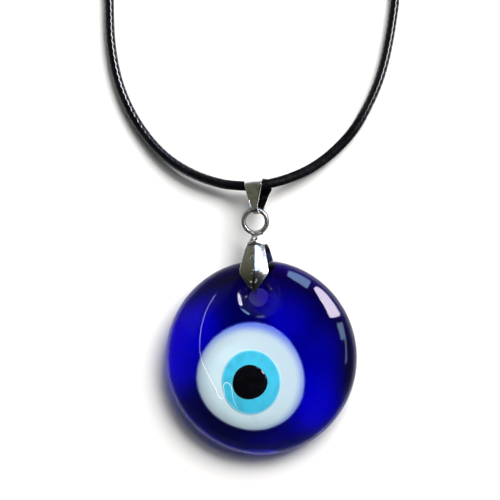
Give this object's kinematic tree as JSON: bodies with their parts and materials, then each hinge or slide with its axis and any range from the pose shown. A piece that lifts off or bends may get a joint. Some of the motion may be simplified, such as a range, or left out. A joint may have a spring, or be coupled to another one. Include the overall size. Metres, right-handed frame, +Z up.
{
  "type": "evil eye pendant necklace",
  "caption": "Domed blue glass eye pendant on a pinch bail and a folded bail, threaded on a closed loop of waxed neck cord.",
  "frame": {"origin": "on the surface that the pendant lies on, under the middle of the box round the disc and the two bails", "axes": "+X to the wearer's left across the disc, +Y from the disc along the bails to the neck cord's clasp, +Z up out of the surface, out of the eye"},
  "size_m": [0.0624, 0.2045, 0.0092],
  "materials": {
    "blue_glass": "polished cobalt glass, clear to the white surface at its thin edge",
    "white_glass": "opaque glossy glass",
    "light_blue_glass": "opaque glossy glass",
    "black_glass": "opaque glossy glass",
    "silver_plate": "bright silver plate with soft casting marks",
    "waxed_cord": "black braided waxed cotton"
  },
  "bodies": {
    "root": {"glass_disc": "blue_glass", "eye_white": "white_glass", "eye_iris": "light_blue_glass", "eye_pupil": "black_glass", "pinch_bail": "silver_plate", "folded_bail": "silver_plate", "clasp": "silver_plate", "neck_cord": "waxed_cord"}
  },
  "joints": []
}
